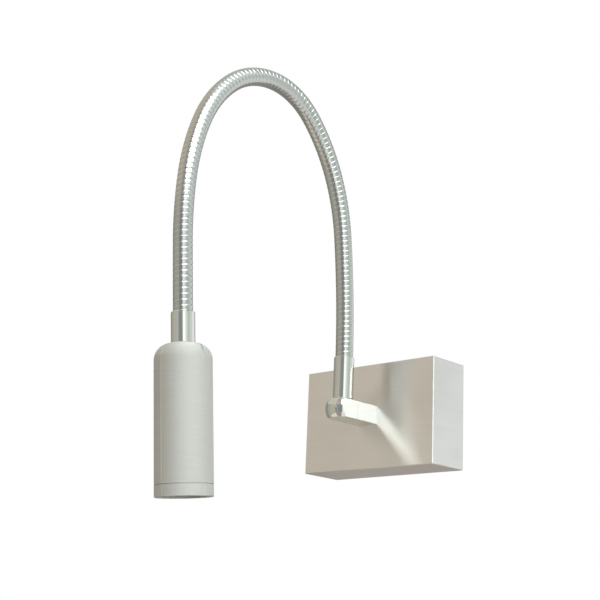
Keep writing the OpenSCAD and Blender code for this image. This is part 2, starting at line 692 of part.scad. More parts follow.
module lampholder() color([0.95, 0.94, 0.9]) on_head(holder_s) difference() {
    union() {
        translate([-holder_body_w / 2, -holder_body_t / 2, 0])
            cube([holder_body_w, holder_body_t, holder_body_h]);
        translate([-holder_flange_w / 2, -holder_body_t / 2, 0])
            cube([holder_flange_w, holder_body_t, holder_flange_t + 2]);
    }
    for (x = [-1, 1]) {
        translate([x * holder_screw_x, 0, -1])
            cylinder(r = m3_r + run_gap, h = holder_screw_len + 1);
        translate([x * pin_pitch / 2, 0, holder_body_h - pin_len - 1])
            cylinder(r = pin_r + run_gap, h = pin_len + 2);
    }
}

module lamp_pins() color("silver") on_head(lamp_base_s) for (x = [-1, 1])
    translate([x * pin_pitch / 2, 0, -pin_len]) cylinder(r = pin_r, h = pin_len);

module lamp_reflector() color([0.85, 0.88, 0.9]) on_head(lamp_base_s) difference() {
    depth = lamp_front_s - lamp_base_s;
    bowl = depth - lamp_base_h;
    step = 6;
    outline = [for (i = [0 : step])
        [lamp_neck_r + (lamp_r - lamp_neck_r) * sin(90 * i / step), lamp_base_h + bowl * (1 - cos(90 * i / step))]];
    union() {
        translate([-lamp_neck_r, -lamp_foot_t / 2, 0]) cube([2 * lamp_neck_r, lamp_foot_t, lamp_base_h + 1]);
        rotate_extrude() polygon(concat([[0, lamp_base_h]], outline, [[0, depth]]));
    }
    translate([0, 0, lamp_wall]) rotate_extrude()
        polygon(concat([[0, lamp_base_h]], [for (p = outline) p - [lamp_wall, 0]], [[0, depth]]));
}

module lamp_capsule() color("white") on_head(lamp_base_s + lamp_base_h + lamp_wall) {
    cylinder(r = capsule_r, h = capsule_len);
    translate([0, 0, capsule_len]) sphere(r = capsule_r, $fn = 36);
}

module front_glass() color([0.85, 0.9, 0.92, 0.5]) on_head(ring_s + glass_back)
    cylinder(r = glass_r, h = glass_t);

module glass_gasket() color("white") on_head(ring_s + glass_face)
    tube_ring(glass_r, ring_opening_d / 2 + seat_gap, gasket_t);

module front_ring() color([0.78, 0.78, 0.76]) on_head(ring_s) difference() {
    rotate_extrude() polygon([
        [ring_opening_d / 2, glass_seat], [ring_seat_r, glass_seat], [ring_seat_r, -ring_neck_len],
        [ring_neck_r, -ring_neck_len], [ring_neck_r, 0], [head_r - edge / 2, 0], [head_r, edge / 2],
        [head_r, ring_body_h - edge], [head_r - edge, ring_body_h],
        [ring_opening_d / 2 + edge, ring_body_h], [ring_opening_d / 2, ring_body_h - edge]
    ]);
    // Groove for the clip that keeps the glass in its seat
    translate([0, 0, glass_back - clip_wire - run_gap])
        cylinder(r = ring_seat_r + clip_wire / 2, h = clip_wire + run_gap);
}

// Open spring wire that snaps in over the glass
module glass_clip() color("silver") on_head(ring_s + glass_back - clip_wire / 2)
    rotate(15) rotate_extrude(angle = 330) translate([ring_seat_r - 0.05, 0])
        square([clip_wire * 0.6, clip_wire - 0.04], center = true);

wall_plate();
box_cover();
cover_screws();
cable_grommet();
transformer();
transformer_screws();
terminal_block();
terminal_screws();
earth_screw();
earth_tag();
earth_lead();
mains_leads();
lamp_lead();
arm_stub();
arm_washer();
arm_nut();
stop_screw();
swivel_washer();
swivel_block();
swivel_o_ring();
block_cap();
arm_cable();
lower_ferrule();
for (k = [1 : stretches]) gooseneck(k - 1);
for (k = [1 : stretches]) lamp_cable(k - 1);
head_ferrule();
head_cable();
head_nut();
head_shell();
holder_bracket();
holder_screws();
lampholder();
lamp_pins();
lamp_reflector();
lamp_capsule();
front_glass();
glass_gasket();
front_ring();
glass_clip();

// Check of the bending places: gap left at the narrowed ends' rims when bent by max_bend
rim_angle = 2 * atan(bend_gap / bend_end_d);
echo(bend_room_mm = bend_end_d / 2 * (rim_angle - max_bend) * PI / 180);
echo(hinges = [for (k = [1 : stretches - 1]) stretch_start(k)], end = neck_end, heading = head_heading);
echo(foot = [foot_y, neck_z], arm_up = arm_up, ring_s = ring_s, windings = windings * stretches);
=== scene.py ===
"""Looks of the wall bracket light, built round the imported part.

Metres, in the part's own frame: the wall is the plane y = 0, the room is on its -Y side, and Z is
up.
"""

import json
import math

import bmesh
import bpy
import numpy as np
from bpy.props import FloatProperty, FloatVectorProperty, IntProperty, PointerProperty
from bpy.types import NodeSocket, Operator, Panel, PropertyGroup
from mathutils import Matrix, Vector


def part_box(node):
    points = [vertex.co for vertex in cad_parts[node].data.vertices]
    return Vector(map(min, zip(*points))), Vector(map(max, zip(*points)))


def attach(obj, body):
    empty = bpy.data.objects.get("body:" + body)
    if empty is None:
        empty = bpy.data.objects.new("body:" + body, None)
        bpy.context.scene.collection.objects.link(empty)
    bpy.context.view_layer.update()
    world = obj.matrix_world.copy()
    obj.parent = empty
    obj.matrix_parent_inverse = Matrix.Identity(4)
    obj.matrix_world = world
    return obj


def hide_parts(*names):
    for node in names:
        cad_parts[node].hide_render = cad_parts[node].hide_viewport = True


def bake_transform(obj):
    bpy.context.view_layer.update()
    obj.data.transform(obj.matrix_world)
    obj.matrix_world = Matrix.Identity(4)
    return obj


bl_info = {
    "name": "Wall bracket light",
    "version": (1, 0, 0),
    "blender": (4, 5, 0),
    "location": "View3D > Sidebar > Bracket light",
    "description": "Wound gooseneck, metal finishes and studio for a wall bracket light",
    "category": "Object",
}

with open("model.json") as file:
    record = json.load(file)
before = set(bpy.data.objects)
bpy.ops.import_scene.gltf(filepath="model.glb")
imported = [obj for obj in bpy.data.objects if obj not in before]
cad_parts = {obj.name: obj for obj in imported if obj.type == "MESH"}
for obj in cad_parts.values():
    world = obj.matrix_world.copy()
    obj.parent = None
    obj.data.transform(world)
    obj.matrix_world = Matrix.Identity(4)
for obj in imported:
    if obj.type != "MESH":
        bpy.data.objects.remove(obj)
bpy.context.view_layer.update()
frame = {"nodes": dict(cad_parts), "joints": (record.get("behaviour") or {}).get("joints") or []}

# Bodies from the swivel to the head, and the bend of each stretch of the gooseneck in degrees
NECK_BODIES = ["swivel"] + [f"stretch_{k}" for k in range(2, 10)] + ["head"]
BEND_ANGLES = (4, 3.5, 18, 21.5, 45.5, 38, 28, 17, 9.5, 0.5)
STRETCHES = len(BEND_ANGLES)
STRETCH_LEN = 0.0458
NECK_LEN = STRETCHES * STRETCH_LEN
# The gooseneck stands on the lower ferrule, whose upright axis crosses the swivel's axis here
_, NECK_Y, SWIVEL_Z = next(j for j in frame["joints"] if j["name"] == "arm_swivel")["pos_m"]
NECK_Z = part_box("lower_ferrule")[1].z
# How far the part's hinges may lie from the gooseneck's line
HINGE_TOLERANCE = 0.0001
# Length of the gooseneck's ends inside the ferrules, and the largest radius there
TAIL_LEN = 0.006
TAIL_R = 0.00615
# Samples along one winding
RINGS_PER_WINDING = 20
# 2 gives windings with a round back, more gives flatter ones
WINDING_SHAPE = 9.0

# Points round the arm's outlines and on each of their rounded corners, and rings along the block's
# round end
OUTLINE_SIDES = 96
CORNER_SIDES = 8
END_STEPS = 60
# Edges that bend more than this are drawn sharp, in degrees
SHARP_ANGLE = 24
# Way for the lamp cable, the spigot on the block, its play in the stub and the room past its tip
BORE_R = 0.0032
SPIGOT_R = 0.0052
PLAY = 0.00005
SPIGOT_ROOM = 0.0005
# The stub's tail inside the box
STUB_TAIL_R = 0.005
# Seam between stub and block, recess behind the stub's rim, and how far the washer keeps inside
SEAM = 0.0001
RECESS = 0.0012
WASHER_INSET = 0.0013
WASHER_PLAY = 5 * PLAY
# Collar on the block's flat top, how far it reaches down and up, and the stud over it
COLLAR_R = 0.007
COLLAR_SINK = 0.001
COLLAR_H = 0.0004
STUD_R = 0.0048
STUD_LEN = 0.007
# Plug under the block: its height in the block and below it, and the width and height of its bevel
PLUG_R = 0.00455
PLUG_H = 0.0025
PLUG_PROUD = 0.00006
PLUG_BEVEL_W = 0.00015
PLUG_BEVEL_H = 0.0001
# Lower ferrule: bevels below and above, hole for the stud, and seat for the gooseneck
FERRULE_BEVEL_LOW = 0.0004
FERRULE_BEVEL_HIGH = 0.0008
STUD_HOLE_R = 0.00485
STUD_HOLE_DEPTH = 0.0075
SEAT_R = 0.0064
SEAT_DEPTH = 0.009

# Range in which most values of a noise lie
NOISE_RANGE = (0.3, 0.7)
# Shares of the roughness between which it varies, and strength of the relief
METAL_ROUGHNESS = (0.9, 1.12)
METAL_RELIEF = 0.6
SOFT_ROUGHNESS = (0.88, 1.1)
SOFT_RELIEF = 0.5
# A soft material's darker shade, the waves per metre of its shades, and the depth of its skin
SOFT_SHADE = 0.94
SOFT_SPOTS = (45, 45, 45)
SOFT_DEPTH = 1e-5
# Glass: refraction, waves per metre of its faint marks, and the roughness that they add
GLASS_IOR = 1.5
GLASS_MARKS = (300, 300, 300)
GLASS_MARK_ROUGHNESS = 0.03
# Turn of the brushing against the tangent, in full turns
BRUSH_TURN = 0.25
# Least upright share of the normal of a level face, and least product of the other two on a fold
LEVEL_NORMAL = 0.9
FOLD_NORMAL = 0.03

# Nodes of the lamp's cable from the box to the lampholder
CABLES = ("lamp_lead", "arm_cable", "head_cable") + tuple(
    f"lamp_cable_{k}" for k in range(1, STRETCHES + 1)
)
# Soft materials by operator: name, colour, roughness and nodes
INNER_FINISHES = (
    ("moulded_plastic", (0.82, 0.82, 0.78), 0.42, ("transformer", "terminal_block")),
    ("grommet_rubber", (0.025, 0.025, 0.027), 0.6, ("cable_grommet", "swivel_o_ring")),
    ("brown_blue_insulation", (0.16, 0.075, 0.035), 0.45, ("mains_leads",)),
    ("green_yellow_insulation", (0.33, 0.5, 0.05), 0.45, ("earth_lead",)),
    ("cable_sheath", (0.8, 0.8, 0.77), 0.4, CABLES),
)
HEAD_FINISHES = (
    ("unglazed_ceramic", (0.86, 0.84, 0.78), 0.7, ("lampholder",)),
    ("silicone_gasket", (0.78, 0.78, 0.75), 0.55, ("glass_gasket",)),
)

# Camera: place, and yaw, pitch and roll in degrees, from a perspective fit of the box's edges
CAMERA_AT = (0.60145, -0.77544, -0.17574)
CAMERA_TURN = (-42.39, 15.461, 2.425)
# Lamp: place, the point that it shines at, width and power
LAMP_AT = (0.5, -1.4, 2.2)
LAMP_AIM = (0, -0.1, 0)
LAMP_WIDTH = 1.6
LAMP_POWER = 18.0

# Cards round the light: start and end in degrees round it, 0 on the camera's side and 90 on its
# right, lowest and highest edge in degrees above the horizon, colour and strength
CARDS = (
    ("back_left", -180, -150, -27, 22, (0.32, 0.32, 0.28), 1.0),
    ("left_far", -150, -118, -27, 22, (0.34, 0.34, 0.30), 1.0),
    ("left_olive", -118, -92, -27, 22, (0.49, 0.49, 0.43), 1.0),
    ("left_tan", -92, -58, -27, 22, (0.59, 0.56, 0.485), 1.0),
    ("left_grey", -58, -38, -27, 22, (0.58, 0.58, 0.55), 1.0),
    ("front_dark", -38, -6, -27, 22, (0.32, 0.335, 0.34), 1.0),
    ("front_edge", -6, 0, -27, 28, (0.62, 0.64, 0.63), 1.0),
    ("front_light", 0, 20, -27, 28, (0.98, 0.99, 1.0), 1.5),
    ("front_mint", 20, 34, -27, 28, (0.86, 0.98, 0.91), 1.12),
    ("right_green", 34, 47, -27, 28, (0.75, 0.82, 0.74), 1.0),
    ("right_grey", 47, 68, -27, 22, (0.67, 0.72, 0.66), 1.0),
    ("right_light", 68, 98, -27, 22, (0.81, 0.87, 0.84), 1.0),
    ("right_far", 98, 145, -27, 22, (0.96, 1.0, 1.0), 1.08),
    ("back_right", 145, 180, -27, 22, (0.42, 0.40, 0.39), 1.0),
    ("high_left", -125, -50, 22, 75, (0.78, 0.70, 0.57), 1.0),
    ("high_front_left", -50, -12, 22, 75, (0.52, 0.49, 0.46), 1.0),
    ("high_front", -12, 48, 28, 60, (0.94, 0.99, 1.0), 7.0),
    ("high_right", 48, 98, 22, 75, (0.93, 1.0, 1.0), 1.15),
    ("high_back", 98, 235, 22, 75, (0.58, 0.63, 0.61), 1.0),
    ("low_far", -180, -108, -75, -27, (0.36, 0.33, 0.30), 1.0),
    ("low_left", -108, -50, -75, -27, (0.95, 0.87, 0.74), 1.0),
    ("low_front", -50, -10, -75, -27, (0.42, 0.36, 0.33), 1.0),
    ("low_back", 120, 180, -75, -27, (0.36, 0.33, 0.31), 1.0),
)
# Width of a card's flat faces, in degrees
CARD_STEP = 4


# Materials

def blank_material(name, kind="ShaderNodeBsdfPrincipled"):
    """New material with nothing but a shader and its output."""
    material = bpy.data.materials.new(name)
    material.use_nodes = True
    nodes = material.node_tree.nodes
    nodes.clear()
    output = nodes.new("ShaderNodeOutputMaterial")
    shader = nodes.new(kind)
    material.node_tree.links.new(shader.outputs[0], output.inputs["Surface"])
    return material, shader


def add_node(material, kind, **properties):
    node = material.node_tree.nodes.new(kind)
    for name, value in properties.items():
        setattr(node, name, value)
    return node


def feed(material, value, target):
    """Links a socket to the target, or sets the target to a constant."""
    if isinstance(value, NodeSocket):
        material.node_tree.links.new(value, target)
    else:
        target.default_value = value


def calculate(material, operation, *values):
    """Result of a math node; its values are sockets or numbers."""
    node = add_node(material, "ShaderNodeMath", operation=operation)
    for value, target in zip(values, node.inputs):
        feed(material, value, target)
    return node.outputs[0]


def mixed(material, kind, factor, first, second):
    """Mix of two colours (kind RGBA) or vectors (kind VECTOR), which are sockets or constants."""
    mix = add_node(material, "ShaderNodeMix", data_type=kind)
    ending = {"RGBA": "Color", "VECTOR": "Vector"}[kind]
    inputs = {socket.identifier: socket for socket in mix.inputs}
    feed(material, factor, inputs["Factor_Float"])
    feed(material, first, inputs[f"A_{ending}"])
    feed(material, second, inputs[f"B_{ending}"])
    return next(socket for socket in mix.outputs if socket.identifier == f"Result_{ending}")


def grain(material, scale, detail=2.0):
    """Noise on the part with its own scale along each axis, in waves per metre."""
    where = add_node(material, "ShaderNodeTexCoord")
    mapping = add_node(material, "ShaderNodeMapping", vector_type="TEXTURE")
    mapping.inputs["Scale"].default_value = [1 / s for s in scale]
    feed(material, where.outputs["Object"], mapping.inputs["Vector"])
    noise = add_node(material, "ShaderNodeTexNoise")
    noise.inputs["Scale"].default_value = 1.0
    noise.inputs["Detail"].default_value = detail
    noise.inputs["Roughness"].default_value = 0.6
    feed(material, mapping.outputs["Vector"], noise.inputs["Vector"])
    return noise.outputs["Fac"]


def spread(material, value, low, high):
    """Maps a noise value from its usual range to low .. high."""
    node = add_node(material, "ShaderNodeMapRange")
    limits = ("From Min", "From Max", "To Min", "To Max")
    for name, number in zip(limits, (*NOISE_RANGE, low, high)):
        node.inputs[name].default_value = number
    feed(material, value, node.inputs["Value"])
    return node.outputs["Result"]


def tint(material, shader, value, dark, light):
    """Base colour between two colours by a noise value."""
    colour = mixed(material, "RGBA", spread(material, value, 0.0, 1.0), (*dark, 1), (*light, 1))
    feed(material, colour, shader.inputs["Base Color"])


def relief(material, shader, height, depth, strength):
    bump = add_node(material, "ShaderNodeBump")
    bump.inputs["Strength"].default_value = strength
    bump.inputs["Distance"].default_value = depth
    feed(material, height, bump.inputs["Height"])
    feed(material, bump.outputs["Normal"], shader.inputs["Normal"])


def shaded(colour, factor):
    return tuple(c * factor for c in colour)


def brush(material, shader, roughness):
    """Brushes the metal round the part, and along X on level faces. Returns the roughness, which is
    1 on faces that look between X and Y. These are the cover's upright folds, but also nearly all
    of a round piece, which makes the head matt."""
    facing = add_node(material, "ShaderNodeNewGeometry")
    parts = add_node(material, "ShaderNodeSeparateXYZ")
    feed(material, facing.outputs["True Normal"], parts.inputs["Vector"])
    x, y, z = (parts.outputs[axis] for axis in "XYZ")
    level = calculate(material, "GREATER_THAN", calculate(material, "ABSOLUTE", z), LEVEL_NORMAL)
    around = add_node(material, "ShaderNodeTangent", direction_type="RADIAL", axis="Z")
    along = mixed(material, "VECTOR", level, around.outputs["Tangent"], (1, 0, 0))
    feed(material, along, shader.inputs["Tangent"])
    slant = calculate(material, "ABSOLUTE", calculate(material, "MULTIPLY", x, y))
    fold = calculate(material, "GREATER_THAN", slant, FOLD_NORMAL)
    return calculate(material, "MAXIMUM", roughness, fold)


def metal(
    name, colour, roughness, lines, spots=(60, 60, 60), stretch=0.0, variation=0.04, depth=2e-6
):
    """Metal with fine tool lines. lines and spots are waves per metre along X, Y and Z, depth is
    the depth of the lines, and stretch spreads the reflections across them."""
    material, shader = blank_material(name)
    shader.inputs["Metallic"].default_value = 1.0
    fine = grain(material, lines)
    broad = grain(material, spots, detail=3.0)
    tint(material, shader, fine, shaded(colour, 1 - variation), shaded(colour, 1 + variation / 2))
    uneven = spread(material, broad, *(roughness * share for share in METAL_ROUGHNESS))
    relief(material, shader, fine, depth, METAL_RELIEF)
    if stretch:
        shader.inputs["Anisotropic"].default_value = stretch
        shader.inputs["Anisotropic Rotation"].default_value = BRUSH_TURN
        uneven = brush(material, shader, uneven)
    feed(material, uneven, shader.inputs["Roughness"])
    return material


def soft(name, colour, roughness, scale=900):
    """Plastic, rubber, ceramic or fibre: a fine skin, slightly uneven in colour."""
    material, shader = blank_material(name)
    skin = grain(material, (scale,) * 3, detail=4.0)
    spots = grain(material, SOFT_SPOTS, detail=3.0)
    tint(material, shader, spots, shaded(colour, SOFT_SHADE), colour)
    uneven = spread(material, skin, *(roughness * share for share in SOFT_ROUGHNESS))
    feed(material, uneven, shader.inputs["Roughness"])
    relief(material, shader, skin, SOFT_DEPTH, SOFT_RELIEF)
    return material


def glass(name, colour, roughness):
    """Clear or frosted glass with faint marks."""
    material, shader = blank_material(name)
    shader.inputs["Base Color"].default_value = (*colour, 1)
    shader.inputs["Transmission Weight"].default_value = 1.0
    shader.inputs["IOR"].default_value = GLASS_IOR
    marks = grain(material, GLASS_MARKS, detail=3.0)
    marked = spread(material, marks, roughness, roughness + GLASS_MARK_ROUGHNESS)
    feed(material, marked, shader.inputs["Roughness"])
    return material


def glow(name, colour, strength):
    material, emission = blank_material(name, "ShaderNodeEmission")
    emission.inputs["Color"].default_value = (*colour, 1)
    emission.inputs["Strength"].default_value = strength
    return material


def finish_nodes(material, *names):
    for name in names:
        mesh = frame["nodes"][name].data
        mesh.materials.clear()
        mesh.materials.append(material)


# Meshes

def add_object(name, points, faces, material):
    mesh = bpy.data.meshes.new(name)
    mesh.from_pydata(points, [], faces)
    mesh.validate()
    mesh.materials.append(material)
    made = bpy.data.objects.new(name, mesh)
    bpy.context.scene.collection.objects.link(made)
    return made


def smooth(mesh):
    mesh.polygons.foreach_set("use_smooth", [True] * len(mesh.polygons))


def wall_faces(first, count, sides, looped=False):
    """Faces between count rings of points, the first of which starts at the point first; looped
    joins the last ring to the first one."""
    faces = []
    for i in range(count if looped else count - 1):
        here, there = first + i * sides, first + (i + 1) % count * sides
        for j in range(sides):
            n = (j + 1) % sides
            faces.append((here + j, here + n, there + n, there + j))
    return faces


# The gooseneck's line

def heading(k):
    """Direction at the start of stretch k, in radians from upwards towards the room."""
    return math.radians(sum(BEND_ANGLES[:k]))


def stretch_point(k, s):
    """(y, z) at the length s along stretch k, and the heading there."""
    y, z = (NECK_Y, NECK_Z) if k == 0 else stretch_point(k - 1, STRETCH_LEN)[0]
    bend = math.radians(BEND_ANGLES[k]) / STRETCH_LEN
    a, b = heading(k), heading(k) + bend * s
    return (y + (math.cos(b) - math.cos(a)) / bend, z + (math.sin(b) - math.sin(a)) / bend), b


def neck_point(s):
    """(y, z) and heading at the length s along the gooseneck; it goes on straight past its ends."""
    inside = min(max(s, 0.0), NECK_LEN)
    k = min(int(inside / STRETCH_LEN), STRETCHES - 1)
    (y, z), angle = stretch_point(k, inside - k * STRETCH_LEN)
    return (y - math.sin(angle) * (s - inside), z + math.cos(angle) * (s - inside)), angle


def check_hinges():
    """The line above has to meet the part's own hinges."""
    names = ["gooseneck_lower_bend", "lower_bend_2", "lower_bend_3", "lower_bend_4"]
    names += ["gooseneck_upper_bend"] + [f"upper_bend_{k}" for k in range(2, 6)]
    hinges = {j["name"]: j["pos_m"] for j in frame["joints"] if "pos_m" in j}
    for k, name in enumerate(names):
        (y, z), _ = stretch_point(k, STRETCH_LEN)
        if math.hypot(y - hinges[name][1], z - hinges[name][2]) > HINGE_TOLERANCE:
            raise RuntimeError(f"the gooseneck's line misses the hinge {name}")


def neck_ring(s, radius, turns):
    """Ring of points square to the gooseneck's line at the length s, at shares of a full turn."""
    (y, z), angle = neck_point(s)
    across, away = np.cos(2 * np.pi * turns), np.sin(2 * np.pi * turns)
    return np.column_stack([
        radius * across,
        y + radius * away * math.cos(angle),
        z + radius * away * math.sin(angle),
    ])


def wound_tube(name, start, end, neck, material):
    """Closed tube from start to end along the gooseneck, with a wire wound round it as one long
    helix."""
    crest_r, groove_r, sides = neck.outer_d / 2, neck.groove_d / 2, neck.sides
    pitch = STRETCH_LEN / neck.windings
    steps = max(2, round((end - start) / pitch * RINGS_PER_WINDING))
    turns = np.arange(sides) / sides
    points = []
    for i in range(steps + 1):
        s = start + (end - start) * i / steps
        phase = (s / pitch - turns) % 1.0
        rise = np.sqrt(np.maximum(0.0, 1 - np.abs(2 * phase - 1) ** WINDING_SHAPE))
        radius = groove_r + (crest_r - groove_r) * rise
        if s < 0 or s > NECK_LEN:
            radius = np.minimum(radius, TAIL_R)
        points.append(neck_ring(s, radius, turns))
    bore_steps = steps // RINGS_PER_WINDING + 1
    for i in range(bore_steps + 1):
        points.append(neck_ring(start + (end - start) * i / bore_steps, neck.bore_d / 2, turns))
    last, bore = steps * sides, (steps + 1) * sides
    last_bore = bore + bore_steps * sides
    faces = wall_faces(0, steps + 1, sides)
    faces += [(a, d, c, b) for a, b, c, d in wall_faces(bore, bore_steps + 1, sides)]
    for j in range(sides):
        n = (j + 1) % sides
        faces.append((j, bore + j, bore + n, n))
        faces.append((last + j, last + n, last_bore + n, last_bore + j))
    tube = add_object(name, np.concatenate(points).tolist(), faces, material)
    smooth(tube.data)
    return tube


# Flat-sided arm

def circle_ring(y, z, radius):
    """Ring of OUTLINE_SIDES points round the arm's direction, at the depth y."""
    turns = 2 * np.pi * np.arange(OUTLINE_SIDES) / OUTLINE_SIDES
    depth = np.full(OUTLINE_SIDES, y)
    return np.column_stack([radius * np.cos(turns), depth, z + radius * np.sin(turns)])


def bar_ring(y, z, width, height, corner_r, limit=None):
    """Rounded rectangle at the depth y; points farther from the middle than limit come in to it."""
    half_w, half_h = width / 2 - corner_r, height / 2 - corner_r
    per_side = OUTLINE_SIDES // 4 - CORNER_SIDES
    points = []
    for corner, (sx, sz) in enumerate(((1, 1), (-1, 1), (-1, -1), (1, -1))):
        for i in range(CORNER_SIDES):
            angle = math.pi / 2 * (corner + i / (CORNER_SIDES - 1))
            points.append(
                (sx * half_w + corner_r * math.cos(angle), sz * half_h + corner_r * math.sin(angle))
            )
        # Points along the straight side up to the next corner
        if corner % 2:
            ends = ((width / 2 * sx, sz * half_h), (width / 2 * sx, -sz * half_h))
        else:
            ends = ((sx * half_w, height / 2 * sz), (-sx * half_w, height / 2 * sz))
        for i in range(1, per_side + 1):
            part = i / (per_side + 1)
            points.append(tuple(a + (b - a) * part for a, b in zip(*ends)))
    # The first point lies beside angle 0, as in circle_ring
    flat = np.roll(np.array(points), per_side // 2 + 1, axis=0)
    if limit is not None:
        far = np.hypot(flat[:, 0], flat[:, 1])
        flat *= np.minimum(1.0, limit / far)[:, None]
    return np.column_stack([flat[:, 0], np.full(len(flat), y), z + flat[:, 1]])


def turned_rings(y, outline):
    """Rings round the upright axis at the depth y, for (radius, height) pairs."""
    turns = 2 * np.pi * np.arange(OUTLINE_SIDES) / OUTLINE_SIDES
    return [
        np.column_stack([r * np.cos(turns), y + r * np.sin(turns), np.full(OUTLINE_SIDES, z)])
        for r, z in outline
    ]


def ring_shells(name, slot, material, body, node, *shells):
    """Object from shells. Each is a list of rings, and whether it is closed as a loop or has an end
    face on both sides."""
    points, faces = [], []
    for rings, looped in shells:
        first, sides = sum(len(ring) for ring in points), len(rings[0])
        points += rings
        faces += wall_faces(first, len(rings), sides, looped)
        if not looped:
            last = first + (len(rings) - 1) * sides
            faces.append(tuple(first + j for j in reversed(range(sides))))
            faces.append(tuple(last + j for j in range(sides)))
    piece = add_object(name, np.concatenate(points).tolist(), faces, material)
    solid = bmesh.new()
    solid.from_mesh(piece.data)
    bmesh.ops.recalc_face_normals(solid, faces=solid.faces)
    solid.to_mesh(piece.data)
    solid.free()
    smooth(piece.data)
    piece.data.set_sharp_from_angle(angle=math.radians(SHARP_ANGLE))
    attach(piece, body)
    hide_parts(node)


# Properties

def size_property(name, description, default):
    return FloatProperty(
        name=name, description=description, default=default, min=0.0, unit="LENGTH"
    )


def colour_property(name, description, default):
    return FloatVectorProperty(
        name=name, description=description, default=default, subtype="COLOR", size=3, min=0.0,
        max=1.0,
    )


def plain_property(name, description, default):
    return FloatProperty(name=name, description=description, default=default, min=0.0)


class NeckSettings(PropertyGroup):
    outer_d: size_property("Outer diameter", "Diameter over the windings", 0.013)
    groove_d: size_property("Groove diameter", "Diameter between the windings", 0.012)
    bore_d: size_property("Bore", "Diameter of the way for the lamp cable", 0.0058)
    windings: IntProperty(
        name="Windings", description="Windings in each of the ten stretches", default=12, min=4
    )
    sides: IntProperty(
        name="Sides", description="Sides round the gooseneck's mesh", default=48, min=12
    )
    colour: colour_property("Colour", "Colour of the wound steel", (0.54, 0.55, 0.53))
    roughness: plain_property("Roughness", "Roughness of the wound steel", 0.2)


class ArmSettings(PropertyGroup):
    width: size_property("Width", "Width of the arm and the swivel block", 0.017)
    height: size_property("Height", "Height of the arm and the swivel block", 0.014)
    middle: size_property(
        "Middle", "Height of the arm's middle above the middle of the box", 0.0003
    )
    corner_r: size_property("Edge radius", "Radius of the arm's long edges", 0.0006)
    end_r: size_property("End radius", "Radius of the swivel block's round front end", 0.0125)


class MetalSettings(PropertyGroup):
    box: colour_property("Box", "Brushed aluminium of the cover", (0.842, 0.824, 0.806))
    head: colour_property(
        "Head", "Turned aluminium of the head and its front ring", (0.70, 0.70, 0.67)
    )
    polished: colour_property("Polished", "Nickel of the arm and the ferrules", (0.70, 0.71, 0.67))
    zinc: colour_property("Zinc", "Zinc plate of the inner steel parts", (0.62, 0.63, 0.64))
    brass: colour_property("Brass", "Nuts and terminal screws", (0.78, 0.60, 0.30))


class StageSettings(PropertyGroup):
    floor_z: FloatProperty(
        name="Floor", description="Height of the floor", default=-0.45, unit="LENGTH"
    )
    card_r: size_property("Card distance", "Distance of the cards from the light", 3.0)
    lens: FloatProperty(
        name="Lens", description="Focal length of the camera, in millimetres", default=78.0
    )
    daylight: plain_property("Daylight", "Strength of the even light from all round", 0.8)


# Operators

class BRACKET_OT_gooseneck(Operator):
    """Builds the wound gooseneck in eleven pieces along the line through the part's nine hinges;
    the first rides on the swivel and the last on the head
    """

    bl_idname = "bracket_light.gooseneck"
    bl_label = "Gooseneck"

    def execute(self, context):
        neck = context.scene.bracket_neck
        check_hinges()
        material = metal(
            "wound_steel_wire", neck.colour, neck.roughness, lines=(1500, 1500, 1500),
            variation=0.08, depth=3e-6,
        )
        # Each piece but the first and the last reaches from the middle of one stretch to the next's
        for k in range(STRETCHES + 1):
            start = -TAIL_LEN if k == 0 else (k - 0.5) * STRETCH_LEN
            end = NECK_LEN + TAIL_LEN if k == STRETCHES else (k + 0.5) * STRETCH_LEN
            tube = wound_tube(f"gooseneck_wire_{k + 1}", start, end, neck, material)
            if k == 0:
                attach(tube, NECK_BODIES[0])
            elif k == STRETCHES:
                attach(tube, NECK_BODIES[-1])
            else:
                (y, z), angle = stretch_point(k - 1, STRETCH_LEN)
                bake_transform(tube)
            if k > 0:
                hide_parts(f"gooseneck_{k}")
        return {"FINISHED"}


class BRACKET_OT_box(Operator):
    """Finishes the cover in brushed aluminium, and the plate, brackets and screws in zinc"""

    bl_idname = "bracket_light.box"
    bl_label = "Box on the wall"

    def execute(self, context):
        metals = context.scene.bracket_metals
        brushed = metal(
            "brushed_cover", metals.box, roughness=0.37, lines=(25, 25, 2600),
            spots=(14, 14, 30), stretch=1.0,
        )
        finish_nodes(brushed, "box_cover")
        zinc = metal(
            "zinc_plated_steel", metals.zinc, roughness=0.34, lines=(700, 700, 700),
            variation=0.1, depth=4e-6,
        )
        finish_nodes(
            zinc, "wall_plate", "cover_screws", "transformer_screws", "arm_washer", "earth_tag",
            "holder_bracket", "holder_screws", "glass_clip", "lamp_pins",
        )
        return {"FINISHED"}


class BRACKET_OT_inner_parts(Operator):
    """Finishes the transformer, terminals, leads, cables, nuts, rubber parts and the stop screw"""

    bl_idname = "bracket_light.inner_parts"
    bl_label = "Inner parts"

    def execute(self, context):
        metals = context.scene.bracket_metals
        brass = metal(
            "plain_brass", metals.brass, roughness=0.25, lines=(900, 900, 900), variation=0.08
        )
        finish_nodes(brass, "arm_nut", "head_nut", "terminal_screws", "earth_screw")
        for name, colour, roughness, nodes in INNER_FINISHES:
            finish_nodes(soft(name, colour, roughness), *nodes)
        black = metal(
            "blackened_steel", (0.06, 0.06, 0.062), roughness=0.35, lines=(900, 900, 900),
            variation=0.1,
        )
        finish_nodes(black, "stop_screw")
        return {"FINISHED"}


